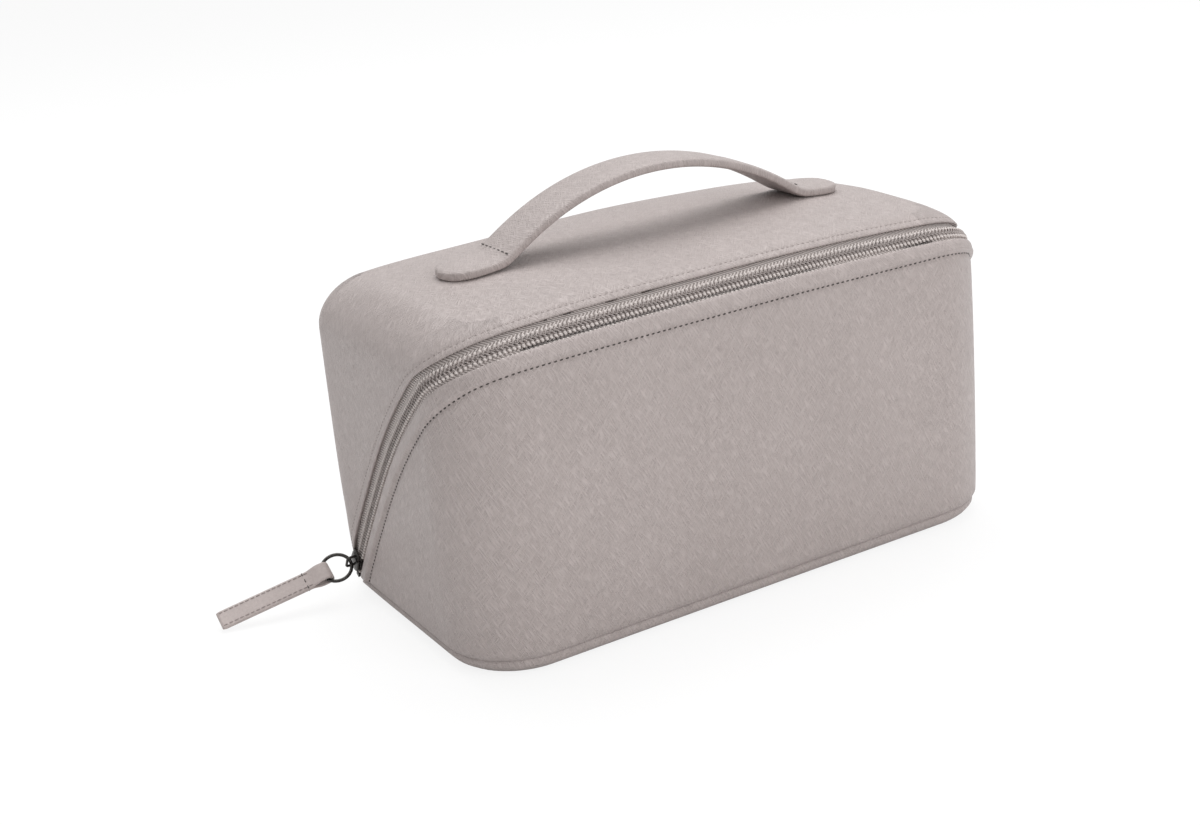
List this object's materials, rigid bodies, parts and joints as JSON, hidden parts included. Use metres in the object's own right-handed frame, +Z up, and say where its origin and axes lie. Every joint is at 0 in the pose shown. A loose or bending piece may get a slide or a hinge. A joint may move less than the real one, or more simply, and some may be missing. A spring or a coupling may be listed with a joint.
{
  "type": "cosmetic bag",
  "caption": "Soft loaf-shaped cosmetic bag with a padded top handle, an arched zip with a leather pull, and a lid hinged along the lower back edge.",
  "frame": {"origin": "middle of the flat bottom, on the surface that the bag stands on", "axes": "+X along the bag, from the end with the slider to the other end; +Y from front to back; +Z up"},
  "size_m": [0.3475, 0.1508, 0.1885],
  "materials": {
    "leather": "fine cross-hatch grain, satin",
    "thread": "twisted thread",
    "zip_tape": "herringbone weave",
    "zip_coil": "moulded coil",
    "gunmetal": "dark plated, polished",
    "lining": "smooth woven",
    "padding": "foam sheet",
    "board": "plain sheet"
  },
  "bodies": {
    "base": {"front_panel": "leather", "bottom_panel": "leather", "hinge_fold": "leather", "lip_band": "leather", "front_stitching": "thread", "base_zip_tape": "zip_tape", "base_coil": "zip_coil", "base_zip_stops": "gunmetal", "zip_end_tabs": "leather", "base_board": "board", "base_foam": "padding", "base_lining": "lining"},
    "lid": {"lid_skin": "leather", "lid_stitching": "thread", "lid_zip_tape": "zip_tape", "lid_coil": "zip_coil", "lid_zip_stop": "gunmetal", "handle_backing": "lining", "lid_foam": "padding", "lid_lining": "lining", "handle_strap": "leather", "handle_core": "padding", "handle_stitching": "thread"},
    "slider": {"slider_body": "gunmetal", "slider_bail": "gunmetal"},
    "ring": {"pull_ring": "gunmetal"},
    "pull": {"pull_strap": "leather", "pull_core": "board", "pull_stitching": "thread"}
  },
  "joints": [
    {"name": "lid_hinge", "type": "hinge", "parent": "base", "child": "lid", "pos_m": [0, 0.075, 0.0005], "axis": [-1, 0, 0], "range_deg": [0, 90]},
    {"name": "slider_travel", "type": "hinge", "parent": "base", "child": "slider", "pos_m": [0, -0.3655, -0.25396], "axis": [1, 0, 0], "range_deg": [0, 14.5]},
    {"name": "ring_swing", "type": "hinge", "parent": "slider", "child": "ring", "pos_m": [-0.1434, 0.0523, 0.01721], "axis": [0, 0.8388, 0.5444], "range_deg": [0, 55]},
    {"name": "pull_swing", "type": "hinge", "parent": "ring", "child": "pull", "pos_m": [-0.15697, 0.05417, 0.01432], "axis": [0, 0.8388, 0.5444], "range_deg": [0, 30]}
  ]
}
